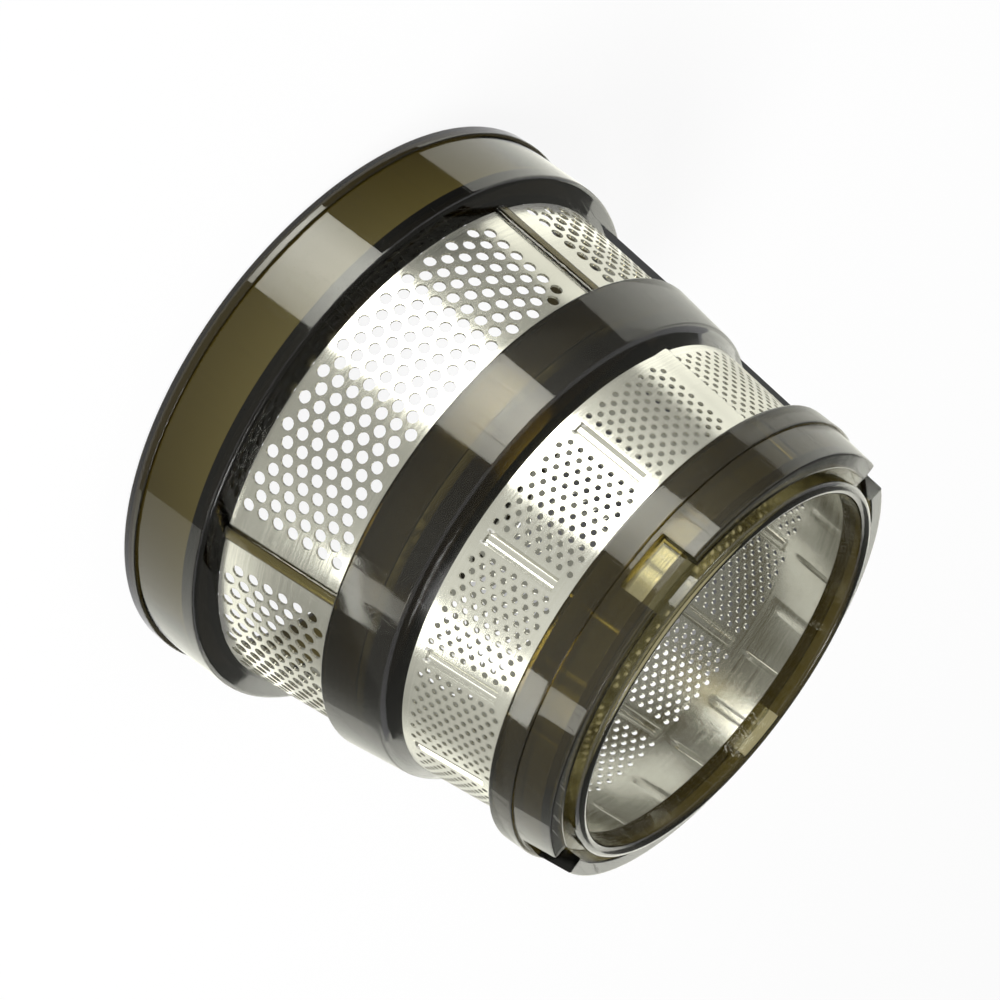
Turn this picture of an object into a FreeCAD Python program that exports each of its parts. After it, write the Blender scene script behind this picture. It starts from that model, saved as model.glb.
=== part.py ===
# Strainer of a slow juicer: two perforated steel cones held in moulded plastic rings.
# It stands on its wide end, with +Z along its axis towards the narrow end. Millimetres and degrees.
import FreeCAD, Part
import os
import Sketcher

doc = FreeCAD.newDocument("juicer_mesh_screen")
dims = doc.addObject("Spreadsheet::Sheet", "Dims")

# Driving dimensions
DRIVING = [
    # Wide ring: a thin rim at the mouth, a drafted band, and a shoulder down to the upper screen
    ("rim_radius", 52.0),
    ("rim_height", 2.5),
    ("rim_proud", 0.55),
    ("wide_band_height", 12.8),
    ("wide_band_draft", 2.0),
    ("wide_wall", 2.6),
    ("shoulder_width", 4.2),
    ("shoulder_rise", 1.0),
    ("seat_plate", 1.5),
    ("shoulder_lap", 2.8),
    ("wide_edge_round", 0.8),
    # Ribs and the windows between them
    ("upper_window_height", 21.7),
    ("rib_count", 4),
    ("rib_width", 2.4),
    ("rib_proud", 0.7),
    # Middle ring
    ("mid_proud", 1.7),
    ("mid_height", 11.7),
    ("mid_draft", 10.0),
    ("mid_nose_rise", 1.8),
    ("mid_edge_round", 1.2),
    ("mid_land", 1.2),
    ("mid_lap", 6.0),
    # Steel screens
    ("sheet_wall", 0.5),
    ("upper_taper", 7.6),
    ("lower_taper", 8.35),
    ("screen_step", 0.8),
    ("lower_window_height", 18.4),
    # End ring: collar, notched flange, groove and raised lip
    ("collar_proud", 3.0),
    ("collar_height", 4.6),
    ("collar_draft", 3.0),
    ("flange_step", 0.5),
    ("flange_height", 6.7),
    ("flange_draft", 9.0),
    ("flange_wall", 2.8),
    ("groove_width", 1.7),
    ("groove_depth", 1.7),
    ("groove_floor", 1.2),
    ("lip_wall", 2.1),
    ("lip_rise", 1.8),
    ("lip_edge_round", 0.9),
    ("notch_count", 4),
    ("notch_width", 10.0),
    ("notch_setback", 0.7),
    ("notch_web", 0.4),
    # Holes of the upper screen: a few large ones stand for the fine field
    ("upper_hole", 4.2),
    ("upper_rows", 4),
    ("upper_row_margin", 0.3),
    ("upper_column_pairs", 4),
    ("upper_column_margin", 7.5),
    # Holes of the lower screen, in fields between the beads
    ("lower_hole", 2.5),
    ("lower_rows", 4),
    ("lower_row_margin", 1.6),
    # Pressed beads of the lower screen, and the inner ridges of its plain strip
    ("bead_count", 12),
    ("bead_width", 2.4),
    ("bead_wall", 0.5),
    ("bead_depth", 0.7),
    ("bead_margin", 2.3),
    ("bead_end_margin", 3.7),
    ("ridge_count", 24),
    ("ridge_width", 1.0),
    ("ridge_proud", 0.4),
    ("ridge_setback", 0.8),
]

# Heights and radii that follow from the driving dimensions
DERIVED = [
    ("shoulder_z", "rim_height + wide_band_height"),
    ("band_foot_radius", "rim_radius - rim_proud"),
    ("band_top_radius", "band_foot_radius - wide_band_height * tan(wide_band_draft)"),
    ("window_z", "shoulder_z + shoulder_rise"),
    ("upper_radius", "band_top_radius - shoulder_width"),
    ("upper_seat_z", "window_z - shoulder_lap"),
    ("upper_seat_radius", "upper_radius + shoulder_lap * tan(upper_taper)"),
    ("upper_seat_bore", "upper_seat_radius - sheet_wall"),
    ("shelf_z", "upper_seat_z - seat_plate"),
    ("mouth_radius", "rim_radius - wide_wall"),
    ("mid_z", "window_z + upper_window_height"),
    ("upper_mid_radius", "upper_radius - upper_window_height * tan(upper_taper)"),
    ("rib_foot_radius", "upper_radius + rib_proud"),
    ("rib_foot_z", "window_z - rib_proud * shoulder_rise / shoulder_width"),
    ("rib_end_radius", "upper_mid_radius + rib_proud"),
    ("mid_foot_radius", "upper_mid_radius + mid_proud"),
    ("mid_nose_z", "mid_z + mid_height"),
    ("mid_nose_radius", "mid_foot_radius - mid_height * tan(mid_draft)"),
    ("lower_z", "mid_nose_z + mid_nose_rise"),
    ("lower_radius", "upper_mid_radius - (lower_z - mid_z) * tan(upper_taper) - screen_step"),
    ("upper_end_z", "mid_z + mid_lap"),
    ("upper_end_radius", "upper_mid_radius - mid_lap * tan(upper_taper)"),
    ("upper_end_bore", "upper_end_radius - sheet_wall"),
    ("lower_start_z", "upper_end_z + mid_land"),
    ("lower_start_radius", "lower_radius + (lower_z - lower_start_z) * tan(lower_taper)"),
    ("lower_start_bore", "lower_start_radius - sheet_wall"),
    ("collar_z", "lower_z + lower_window_height"),
    ("lower_collar_radius", "lower_radius - lower_window_height * tan(lower_taper)"),
    ("collar_foot_radius", "lower_collar_radius + collar_proud"),
    ("flange_z", "collar_z + collar_height"),
    ("collar_top_radius", "collar_foot_radius - collar_height * tan(collar_draft)"),
    ("flange_foot_radius", "collar_top_radius - flange_step"),
    ("flange_top_z", "flange_z + flange_height"),
    ("flange_top_radius", "flange_foot_radius - flange_height * tan(flange_draft)"),
    ("groove_radius", "flange_top_radius - flange_wall"),
    ("groove_z", "flange_top_z - groove_depth"),
    ("lip_radius", "groove_radius - groove_width"),
    ("bore_radius", "lip_radius - lip_wall"),
    ("lip_z", "flange_top_z + lip_rise"),
    ("lower_end_z", "groove_z - groove_floor"),
    ("lower_end_radius", "lower_radius - (lower_end_z - lower_z) * tan(lower_taper)"),
    ("lower_end_bore", "lower_end_radius - sheet_wall"),
    ("window_angle", "360 / rib_count - 2 * atan(rib_width / 2 / upper_radius) / 1deg"),
    ("notch_angle", "2 * atan(notch_width / 2 / flange_top_radius) / 1deg"),
    ("notch_z", "flange_z + notch_setback"),
    ("notch_sheet_radius", "lower_radius - (notch_z - lower_z) * tan(lower_taper)"),
    ("notch_floor_radius", "notch_sheet_radius + notch_web"),
    ("notch_end_radius", "notch_floor_radius - (groove_z - notch_z) * tan(lower_taper)"),
    ("notch_open_radius", "groove_radius - groove_width / 2"),
    ("clear_radius", "rim_radius + wide_wall"),
    ("clear_z", "lip_z + lip_rise"),
    ("upper_field_angle", "window_angle - 2 * upper_column_margin"),
    ("upper_column_angle", "upper_field_angle / (2 * upper_column_pairs - 1)"),
    ("upper_field_z", "window_z + upper_window_height / 2"),
    ("upper_field_height", "upper_window_height - 2 * upper_row_margin - upper_hole"),
    ("upper_row_pitch", "upper_field_height / (upper_rows - 1)"),
    ("lower_field_z", "lower_z + lower_window_height / 2"),
    ("lower_field_height", "lower_window_height - 2 * lower_row_margin - lower_hole"),
    ("lower_row_pitch", "lower_field_height / (lower_rows - 1)"),
    ("bead_half_pitch", "180 / bead_count"),
    ("lower_column_angle", "bead_half_pitch / 2"),
    ("bead_angle", "2 * atan(bead_width / 2 / lower_radius) / 1deg"),
    ("bead_back_angle", "2 * atan((bead_width / 2 + bead_wall) / lower_radius) / 1deg"),
    ("bead_z", "lower_z + bead_margin"),
    ("bead_end_z", "collar_z - bead_end_margin"),
    ("bead_floor_radius", "lower_radius - bead_margin * tan(lower_taper) - bead_depth"),
    ("bead_end_floor_radius", "bead_floor_radius - (bead_end_z - bead_z) * tan(lower_taper)"),
    ("bead_lip_radius", "bead_floor_radius + bead_depth + sheet_wall"),
    ("bead_end_lip_radius", "bead_end_floor_radius + bead_depth + sheet_wall"),
    ("bead_back_z", "bead_z - bead_wall"),
    ("bead_back_end_z", "bead_end_z + bead_wall"),
    ("bead_back_radius", "bead_floor_radius + bead_wall * tan(lower_taper) - bead_wall"),
    ("bead_back_end_radius", "bead_end_floor_radius - bead_wall * tan(lower_taper) - bead_wall"),
    ("bead_root_radius", "bead_back_radius + bead_depth + bead_wall - sheet_wall / 2"),
    ("bead_root_end_radius", "bead_back_end_radius + bead_depth + bead_wall - sheet_wall / 2"),
    ("ridge_angle", "2 * atan(ridge_width / 2 / lower_collar_radius) / 1deg"),
    ("ridge_z", "collar_z + ridge_setback"),
    ("ridge_root_radius", "lower_collar_radius - ridge_setback * tan(lower_taper) - sheet_wall / 2"),
    ("ridge_root_end_radius", "lower_end_radius - sheet_wall / 2"),
    ("ridge_radius", "ridge_root_radius - sheet_wall / 2 - ridge_proud"),
    ("ridge_end_radius", "ridge_root_end_radius - sheet_wall / 2 - ridge_proud"),
]

FULL_TURN = 360
row = 0
for name, number in DRIVING:
    row += 1
    dims.set(f"A{row}", name)
    dims.set(f"B{row}", str(number))
    dims.setAlias(f"B{row}", name)
for name, formula in DERIVED:
    row += 1
    dims.set(f"A{row}", name)
    dims.set(f"B{row}", "=" + formula)
    dims.setAlias(f"B{row}", name)
doc.recompute()


def origin_part(body, role):
    return next(part for part in body.Origin.OriginFeatures if part.Role == role)


def new_body(label):
    body = doc.addObject("PartDesign::Body", label)
    body.Label = label
    return body


def new_sketch(body, name, role):
    sketch = body.newObject("Sketcher::SketchObject", name)
    sketch.AttachmentSupport = [(origin_part(body, role), "")]
    sketch.MapMode = "FlatFace"
    return sketch


def tie(sketch, kind, geometry, point, cell):
    """Hold a point's distance from the sketch's origin at a cell's value."""
    number = sketch.addConstraint(
        Sketcher.Constraint(kind, -1, 1, geometry, point, float(dims.get(cell))))
    sketch.setExpression(f"Constraints[{number}]", f"Dims.{cell}")


def outline(body, name, corners):
    """Closed section in the XZ plane: each corner is a radius cell and a height cell, None at the base."""
    sketch = new_sketch(body, name, "XZ_Plane")
    spots = [FreeCAD.Vector(dims.get(radius), dims.get(height) if height else 0, 0)
             for radius, height in corners]
    count = len(spots)
    for index in range(count):
        sketch.addGeometry(Part.LineSegment(spots[index], spots[(index + 1) % count]), False)
    for index in range(count):
        sketch.addConstraint(Sketcher.Constraint("Coincident", index, 2, (index + 1) % count, 1))
    for index, (radius, height) in enumerate(corners):
        tie(sketch, "DistanceX", index, 1, radius)
        if height:
            tie(sketch, "DistanceY", index, 1, height)
        else:
            sketch.addConstraint(Sketcher.Constraint("PointOnObject", index, 1, -1))
    return sketch


def turned(body, kind, name, sketch, angle_cell=None):
    """Turn a section about the axis: all the way round, or evenly to both sides of its plane."""
    feature = body.newObject("PartDesign::" + kind, name)
    feature.Profile = sketch
    feature.ReferenceAxis = (sketch, ["V_Axis"])
    if angle_cell:
        feature.Midplane = True
        feature.setExpression("Angle", f"Dims.{angle_cell}")
    else:
        feature.Angle = FULL_TURN
    doc.recompute()
    return feature


def around(body, name, feature, count_cell):
    """Repeat a feature evenly round the axis."""
    pattern = body.newObject("PartDesign::PolarPattern", name)
    pattern.Originals = [feature]
    pattern.Axis = (origin_part(body, "Z_Axis"), [""])
    pattern.Angle = FULL_TURN
    pattern.setExpression("Occurrences", f"Dims.{count_cell}")
    body.Tip = pattern
    doc.recompute()
    return pattern


def rounded(body, name, rims, radius_cell):
    """Round the circular edges that lie at the given radius and height cells."""
    base = body.Tip
    wanted = [(dims.get(radius), dims.get(height)) for radius, height in rims]
    edges = []
    for number, edge in enumerate(base.Shape.Edges, 1):
        if isinstance(edge.Curve, Part.Circle):
            spot = (edge.Curve.Radius, edge.Curve.Center.z)
            if any(abs(spot[0] - r) < 1e-4 and abs(spot[1] - z) < 1e-4 for r, z in wanted):
                edges.append(f"Edge{number}")
    fillet = body.newObject("PartDesign::Fillet", name)
    fillet.Base = (base, edges)
    fillet.setExpression("Radius", f"Dims.{radius_cell}")
    body.Tip = fillet
    doc.recompute()
    return fillet


def hole_column(body, name, field, fewer, turn):
    """Column of a field's round holes, one above the other, punched outwards from the bore's radius."""
    count = int(dims.get(field + "_rows")) - fewer
    size_cell, pitch_cell, middle_cell = field + "_hole", field + "_row_pitch", field + "_field_z"
    sketch = new_sketch(body, name + "_sketch", "YZ_Plane")
    sketch.AttachmentOffset = FreeCAD.Placement(
        FreeCAD.Vector(), FreeCAD.Rotation(FreeCAD.Vector(0, 1, 0), 1))
    sketch.setExpression("AttachmentOffset.Rotation.Angle", turn)
    sketch.setExpression("AttachmentOffset.Base.x", f"Dims.bore_radius * sin({turn})")
    sketch.setExpression("AttachmentOffset.Base.z", f"Dims.bore_radius * cos({turn})")
    for index in range(count):
        steps = index - (count - 1) / 2
        height = dims.get(middle_cell) + steps * dims.get(pitch_cell)
        circle = sketch.addGeometry(Part.Circle(
            FreeCAD.Vector(0, height, 0), FreeCAD.Vector(0, 0, 1), dims.get(size_cell) / 2), False)
        sketch.addConstraint(Sketcher.Constraint("PointOnObject", circle, 3, -2))
        rise = sketch.addConstraint(Sketcher.Constraint("DistanceY", -1, 1, circle, 3, height))
        sketch.setExpression(f"Constraints[{rise}]", f"Dims.{middle_cell} + {steps} * Dims.{pitch_cell}")
        width = sketch.addConstraint(Sketcher.Constraint("Diameter", circle, dims.get(size_cell)))
        sketch.setExpression(f"Constraints[{width}]", f"Dims.{size_cell}")
    pocket = body.newObject("PartDesign::Pocket", name)
    pocket.Profile = sketch
    pocket.Type = "ThroughAll"
    pocket.Reversed = True
    doc.recompute()
    return pocket


def hole_field(body, name, columns, steps):
    """Repeat hole columns by turning them: each step is a count and the turn of one copy."""
    field = body.newObject("PartDesign::MultiTransform", name)
    field.Originals = columns
    turns = []
    for index, (count, angle) in enumerate(steps):
        pattern = body.newObject("PartDesign::PolarPattern", f"{name}_turn{index}")
        pattern.Axis = (origin_part(body, "Z_Axis"), [""])
        pattern.Mode = "Spacing"
        pattern.setExpression("Occurrences", count)
        pattern.setExpression("Offset", angle)
        turns.append(pattern)
    field.Transformations = turns
    body.Tip = field
    doc.recompute()
    return field


# Frame: wide ring, four ribs and middle ring in one moulding, with windows over the upper screen
frame = new_body("frame")
turned(frame, "Revolution", "frame_shell", outline(frame, "frame_section", [
    ("mouth_radius", None),
    ("rim_radius", None),
    ("rim_radius", "rim_height"),
    ("band_foot_radius", "rim_height"),
    ("band_top_radius", "shoulder_z"),
    ("rib_foot_radius", "rib_foot_z"),
    ("rib_end_radius", "mid_z"),
    ("mid_foot_radius", "mid_z"),
    ("mid_nose_radius", "mid_nose_z"),
    ("lower_radius", "lower_z"),
    ("lower_start_radius", "lower_start_z"),
    ("lower_start_bore", "lower_start_z"),
    ("upper_end_bore", "upper_end_z"),
    ("upper_end_radius", "upper_end_z"),
    ("upper_seat_radius", "upper_seat_z"),
    ("upper_seat_bore", "upper_seat_z"),
    ("upper_seat_bore", "shelf_z"),
    ("mouth_radius", "shelf_z"),
]))
rounded(frame, "wide_ring_edge", [("band_top_radius", "shoulder_z")], "wide_edge_round")
rounded(frame, "mid_ring_edge", [("mid_nose_radius", "mid_nose_z")], "mid_edge_round")
window = turned(frame, "Groove", "window", outline(frame, "window_section", [
    ("upper_radius", "window_z"),
    ("rib_foot_radius", "rib_foot_z"),
    ("clear_radius", "rib_foot_z"),
    ("clear_radius", "mid_z"),
    ("upper_mid_radius", "mid_z"),
]), "window_angle")
around(frame, "windows", window, "rib_count")

# End ring: collar, tapered flange with notches, groove and raised lip
end_ring = new_body("end_ring")
turned(end_ring, "Revolution", "end_ring_shell", outline(end_ring, "end_ring_section", [
    ("lower_collar_radius", "collar_z"),
    ("collar_foot_radius", "collar_z"),
    ("collar_top_radius", "flange_z"),
    ("flange_foot_radius", "flange_z"),
    ("flange_top_radius", "flange_top_z"),
    ("groove_radius", "flange_top_z"),
    ("groove_radius", "groove_z"),
    ("lip_radius", "groove_z"),
    ("lip_radius", "lip_z"),
    ("bore_radius", "lip_z"),
    ("bore_radius", "lower_end_z"),
    ("lower_end_radius", "lower_end_z"),
]))
rounded(end_ring, "lip_edge", [("lip_radius", "lip_z")], "lip_edge_round")
notch = turned(end_ring, "Groove", "notch", outline(end_ring, "notch_section", [
    ("notch_floor_radius", "notch_z"),
    ("clear_radius", "notch_z"),
    ("clear_radius", "clear_z"),
    ("notch_open_radius", "clear_z"),
    ("notch_open_radius", "groove_z"),
    ("notch_end_radius", "groove_z"),
]), "notch_angle")
around(end_ring, "notches", notch, "notch_count")

# Upper screen: a rolled cone with a field of staggered holes in each window
upper_screen = new_body("upper_screen")
turned(upper_screen, "Revolution", "upper_sheet", outline(upper_screen, "upper_sheet_section", [
    ("upper_seat_bore", "upper_seat_z"),
    ("upper_seat_radius", "upper_seat_z"),
    ("upper_end_radius", "upper_end_z"),
    ("upper_end_bore", "upper_end_z"),
]))
upper_tall = hole_column(upper_screen, "upper_tall_column", "upper", 0, "0")
upper_short = hole_column(upper_screen, "upper_short_column", "upper", 1, "Dims.upper_column_angle")
hole_field(upper_screen, "upper_holes", [upper_tall, upper_short], [
    ("Dims.upper_column_pairs", "2 * Dims.upper_column_angle"),
    ("Dims.rib_count", "360 / Dims.rib_count"),
])
upper_screen.Placement = FreeCAD.Placement(FreeCAD.Vector(), FreeCAD.Rotation(FreeCAD.Vector(0, 0, 1), 1))
upper_screen.setExpression("Placement.Rotation.Angle", "-Dims.upper_field_angle / 2")

# Lower screen: a rolled cone with pressed beads, finer holes between them and inner ridges at its end
lower_screen = new_body("lower_screen")
turned(lower_screen, "Revolution", "lower_sheet", outline(lower_screen, "lower_sheet_section", [
    ("lower_start_bore", "lower_start_z"),
    ("lower_start_radius", "lower_start_z"),
    ("lower_end_radius", "lower_end_z"),
    ("lower_end_bore", "lower_end_z"),
]))
bead_back = turned(lower_screen, "Revolution", "bead_back", outline(lower_screen, "bead_back_section", [
    ("bead_back_radius", "bead_back_z"),
    ("bead_root_radius", "bead_back_z"),
    ("bead_root_end_radius", "bead_back_end_z"),
    ("bead_back_end_radius", "bead_back_end_z"),
]), "bead_back_angle")
around(lower_screen, "bead_backs", bead_back, "bead_count")
bead = turned(lower_screen, "Groove", "bead", outline(lower_screen, "bead_section", [
    ("bead_floor_radius", "bead_z"),
    ("bead_lip_radius", "bead_z"),
    ("bead_end_lip_radius", "bead_end_z"),
    ("bead_end_floor_radius", "bead_end_z"),
]), "bead_angle")
around(lower_screen, "beads", bead, "bead_count")
ridge = turned(lower_screen, "Revolution", "ridge", outline(lower_screen, "ridge_section", [
    ("ridge_radius", "ridge_z"),
    ("ridge_root_radius", "ridge_z"),
    ("ridge_root_end_radius", "lower_end_z"),
    ("ridge_end_radius", "lower_end_z"),
]), "ridge_angle")
around(lower_screen, "ridges", ridge, "ridge_count")
BETWEEN_BEADS = "Dims.bead_half_pitch"
lower_middle = hole_column(lower_screen, "lower_middle_column", "lower", 0, BETWEEN_BEADS)
lower_left = hole_column(lower_screen, "lower_left_column", "lower", 1,
                         f"{BETWEEN_BEADS} + Dims.lower_column_angle")
lower_right = hole_column(lower_screen, "lower_right_column", "lower", 1,
                          f"{BETWEEN_BEADS} - Dims.lower_column_angle")
hole_field(lower_screen, "lower_holes", [lower_middle, lower_left, lower_right],
           [("Dims.bead_count", "360 / Dims.bead_count")])
lower_screen.Placement = FreeCAD.Placement(FreeCAD.Vector(), FreeCAD.Rotation(FreeCAD.Vector(0, 0, 1), 1))
lower_screen.setExpression("Placement.Rotation.Angle", BETWEEN_BEADS)

doc.recompute()
bodies = [frame, end_ring, upper_screen, lower_screen]
for item in doc.Objects:
    if "Invalid" in item.State or "Error" in item.State:
        raise RuntimeError(f"{item.Label} failed: {item.State}")
for body in bodies:
    if body.Shape.isNull() or not body.Shape.isValid() or len(body.Shape.Solids) != 1:
        raise RuntimeError(f"{body.Label} is not one sound solid")

os.makedirs("parts", exist_ok=True)
for body in bodies:
    body.Shape.exportStep(f"parts/{body.Label}.step")
    print(body.Label, round(body.Shape.Volume / 1000, 2), "cm3")
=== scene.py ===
import bmesh
import bpy
import math
from mathutils import Matrix, Vector


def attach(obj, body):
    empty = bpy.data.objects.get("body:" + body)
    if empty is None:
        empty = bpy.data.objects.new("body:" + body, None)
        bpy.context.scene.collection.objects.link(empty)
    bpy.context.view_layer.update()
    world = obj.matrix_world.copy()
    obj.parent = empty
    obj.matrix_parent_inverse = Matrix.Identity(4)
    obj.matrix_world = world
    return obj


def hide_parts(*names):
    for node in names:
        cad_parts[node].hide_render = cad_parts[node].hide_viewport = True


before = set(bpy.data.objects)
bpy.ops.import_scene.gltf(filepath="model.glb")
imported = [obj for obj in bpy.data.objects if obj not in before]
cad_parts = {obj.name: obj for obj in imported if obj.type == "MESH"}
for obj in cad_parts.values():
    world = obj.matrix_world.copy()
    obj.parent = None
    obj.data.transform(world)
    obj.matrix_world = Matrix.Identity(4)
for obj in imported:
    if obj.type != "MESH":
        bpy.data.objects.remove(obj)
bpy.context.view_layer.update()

# Upper screen: stainless sheet, punched flat with round holes in staggered columns and rolled into a cone.
# The wide ring is moulded over its lower edge, one row of holes included, and the middle ring over its
# upper edge, so only four panels of it show between the ribs. Sizes are in millimetres and degrees.
MM = 0.001
SHEET_WALL = 0.45
HOLE_SIDES = 12
ROW_POINTS = 4
WELD = 0.002
SHARP_ANGLE = math.radians(35)
RUBBED_ANGLE = math.radians(24)
upper_foot_z = 13.55
upper_end_z = 43.95
upper_foot_radius = 47.145
upper_slope = math.tan(math.radians(7.6))
upper_roll_radius = 45.3
upper_hole = 2.1
upper_rows = 8
upper_row_pitch = 2.87
upper_first_hole_z = 15.33
upper_column_angle = 3.0
upper_column_pairs = 13
upper_short_rows = 6
upper_short_start = 1.5
upper_plain_columns = 4
upper_panels = 4
upper_margin_rows = 4


def punched_cell(mesh, across, up, half_width, half_height, radius):
    """One round hole and the sheet round it, out to a rectangle whose edge points its neighbours share."""
    ring = bmesh.ops.create_circle(mesh, segments=HOLE_SIDES, radius=radius)["verts"]
    rim = {edge for vert in ring for edge in vert.link_edges}
    grown = bmesh.ops.extrude_edge_only(mesh, edges=list(rim))["geom"]
    border = [item for item in grown if isinstance(item, bmesh.types.BMVert)]
    for vert in border:
        hour = round(math.atan2(vert.co.y, vert.co.x) / (2 * math.pi / HOLE_SIDES))
        side = (1, 1, 1, 0, -1, -1, -1)[abs(hour)]
        rise = (0, 0.5, 1, 1, 1, 0.5, 0)[abs(hour)]
        vert.co = (side * half_width, math.copysign(rise, hour) * half_height, 0)
    bmesh.ops.translate(mesh, verts=ring + border, vec=(across, up, 0))


def plain_strip(mesh, stations, heights):
    """A bare strip of sheet, with an edge at each station across and at each height."""
    line = [mesh.verts.new((stations[0], height, 0)) for height in heights]
    edges = [mesh.edges.new(pair) for pair in zip(line, line[1:])]
    for here, there in zip(stations, stations[1:]):
        grown = bmesh.ops.extrude_edge_only(mesh, edges=edges)["geom"]
        verts = {item for item in grown if isinstance(item, bmesh.types.BMVert)}
        bmesh.ops.translate(mesh, verts=list(verts), vec=(there - here, 0, 0))
        edges = [item for item in grown
                 if isinstance(item, bmesh.types.BMEdge) and verts.issuperset(item.verts)]


def spaced(first, last, steps):
    """Evenly spaced numbers, both ends included."""
    return [first + (last - first) * step / steps for step in range(steps + 1)]


def rolled(mesh, roll_radius, foot_radius, foot_z, slope):
    """Roll the flat sheet onto its cone."""
    for vert in mesh.verts:
        angle = vert.co.x / roll_radius
        radius = foot_radius - (vert.co.y - foot_z) * slope
        vert.co = (radius * math.cos(angle), radius * math.sin(angle), vert.co.y)


def turned_copies(mesh, step_angle, count):
    """Repeat everything in the mesh round the axis, count times in all."""
    bmesh.ops.spin(mesh, geom=mesh.verts[:] + mesh.edges[:] + mesh.faces[:], cent=(0, 0, 0), axis=(0, 0, 1),
                   angle=math.radians(step_angle * (count - 1)), steps=count - 1, use_duplicate=True)


def sheet_given_thickness(mesh):
    """Weld the rolled sheet along its joins and thicken it inwards."""
    bmesh.ops.remove_doubles(mesh, verts=mesh.verts, dist=WELD)
    bmesh.ops.recalc_face_normals(mesh, faces=mesh.faces)
    bmesh.ops.solidify(mesh, geom=mesh.faces[:], thickness=SHEET_WALL)
    bmesh.ops.recalc_face_normals(mesh, faces=mesh.faces)


def about_axis(angle):
    """A turn round the axis, by an angle in degrees."""
    return Matrix.Rotation(math.radians(angle), 3, "Z")


def finished_piece(mesh, name, node, material):
    """Hand a mesh over as the piece that stands for a node."""
    bmesh.ops.scale(mesh, vec=(MM, MM, MM), verts=mesh.verts)
    for face in mesh.faces:
        face.smooth = True
    rubbed = mesh.verts.layers.float.new("rubbed_edge")
    for edge in mesh.edges:
        turn = edge.calc_face_angle_signed(0) if len(edge.link_faces) == 2 else math.pi
        edge.smooth = abs(turn) < SHARP_ANGLE
        for vert in edge.verts:
            vert[rubbed] = max(vert[rubbed], min(turn / RUBBED_ANGLE, 1.0))
    data = bpy.data.meshes.new(name)
    mesh.to_mesh(data)
    mesh.free()
    data.materials.append(material)
    piece = bpy.data.objects.new(name, data)
    bpy.context.scene.collection.objects.link(piece)
    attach(piece, "root")
    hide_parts(node)


def levels(tree, value, low=0.0, high=1.0, to_low=0.0, to_high=1.0):
    """Stretch a value from one range to another, held at both ends."""
    node = tree.nodes.new("ShaderNodeMapRange")
    for label, number in (("From Min", low), ("From Max", high), ("To Min", to_low), ("To Max", to_high)):
        node.inputs[label].default_value = number
    tree.links.new(value, node.inputs["Value"])
    return node.outputs["Result"]


def combined(tree, operation, first, second):
    """One sum on two values, each a socket or a number."""
    node = tree.nodes.new("ShaderNodeMath")
    node.operation = operation
    for value, socket in zip((first, second), node.inputs):
        if isinstance(value, bpy.types.NodeSocket):
            tree.links.new(value, socket)
        else:
            socket.default_value = value
    return node.outputs["Value"]


def blended(tree, share, first, second):
    """A colour between two colours."""
    node = tree.nodes.new("ShaderNodeMix")
    node.data_type = "RGBA"
    tree.links.new(share, node.inputs[0])
    node.inputs[6].default_value = (*first, 1)
    node.inputs[7].default_value = (*second, 1)
    return node.outputs[2]


def speckle(tree, vector, scale, detail):
    """Noise over the surface, at a scale that is a socket or a number."""
    node = tree.nodes.new("ShaderNodeTexNoise")
    node.inputs["Detail"].default_value = detail
    if isinstance(scale, bpy.types.NodeSocket):
        tree.links.new(scale, node.inputs["Scale"])
    else:
        node.inputs["Scale"].default_value = scale
    tree.links.new(vector, node.inputs["Vector"])
    return node.outputs["Fac"]


hairline_turns = ((0.5, 0.2, 0.9), (-0.4, 0.7, 2.1))
hairline_stretch = (3600, 90, 90)
marks = bpy.data.node_groups.new("handling_marks", "ShaderNodeTree")
for label, kind in (("Position", "NodeSocketVector"), ("Grain Scale", "NodeSocketVector"),
                    ("Smudge Scale", "NodeSocketFloat"), ("Edge", "NodeSocketFloat")):
    marks.interface.new_socket(label, in_out="INPUT", socket_type=kind)
for label in ("Grain", "Smudge", "Scratch", "Rubbed Edge"):
    marks.interface.new_socket(label, in_out="OUTPUT", socket_type="NodeSocketFloat")
marks_in = marks.nodes.new("NodeGroupInput")
marks_out = marks.nodes.new("NodeGroupOutput")
stretched = marks.nodes.new("ShaderNodeVectorMath")
stretched.operation = "MULTIPLY"
marks.links.new(marks_in.outputs["Position"], stretched.inputs[0])
marks.links.new(marks_in.outputs["Grain Scale"], stretched.inputs[1])
grain = speckle(marks, stretched.outputs["Vector"], scale=1.0, detail=3.0)
marks.links.new(levels(marks, grain, low=0.3, high=0.7), marks_out.inputs["Grain"])
smudge = speckle(marks, marks_in.outputs["Position"], marks_in.outputs["Smudge Scale"], detail=5.0)
marks.links.new(levels(marks, smudge, low=0.42, high=0.7), marks_out.inputs["Smudge"])
hairlines = []
for turn in hairline_turns:
    slant = marks.nodes.new("ShaderNodeMapping")
    slant.inputs["Rotation"].default_value = turn
    slant.inputs["Scale"].default_value = hairline_stretch
    marks.links.new(marks_in.outputs["Position"], slant.inputs["Vector"])
    hairline = speckle(marks, slant.outputs["Vector"], scale=1.0, detail=0.0)
    hairlines.append(levels(marks, hairline, low=0.72, high=0.78))
marks.links.new(combined(marks, "MAXIMUM", *hairlines), marks_out.inputs["Scratch"])
patchy = levels(marks, smudge, low=0.3, high=0.6, to_low=0.25)
worn = combined(marks, "MULTIPLY", marks_in.outputs["Edge"], patchy)
marks.links.new(worn, marks_out.inputs["Rubbed Edge"])


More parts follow.
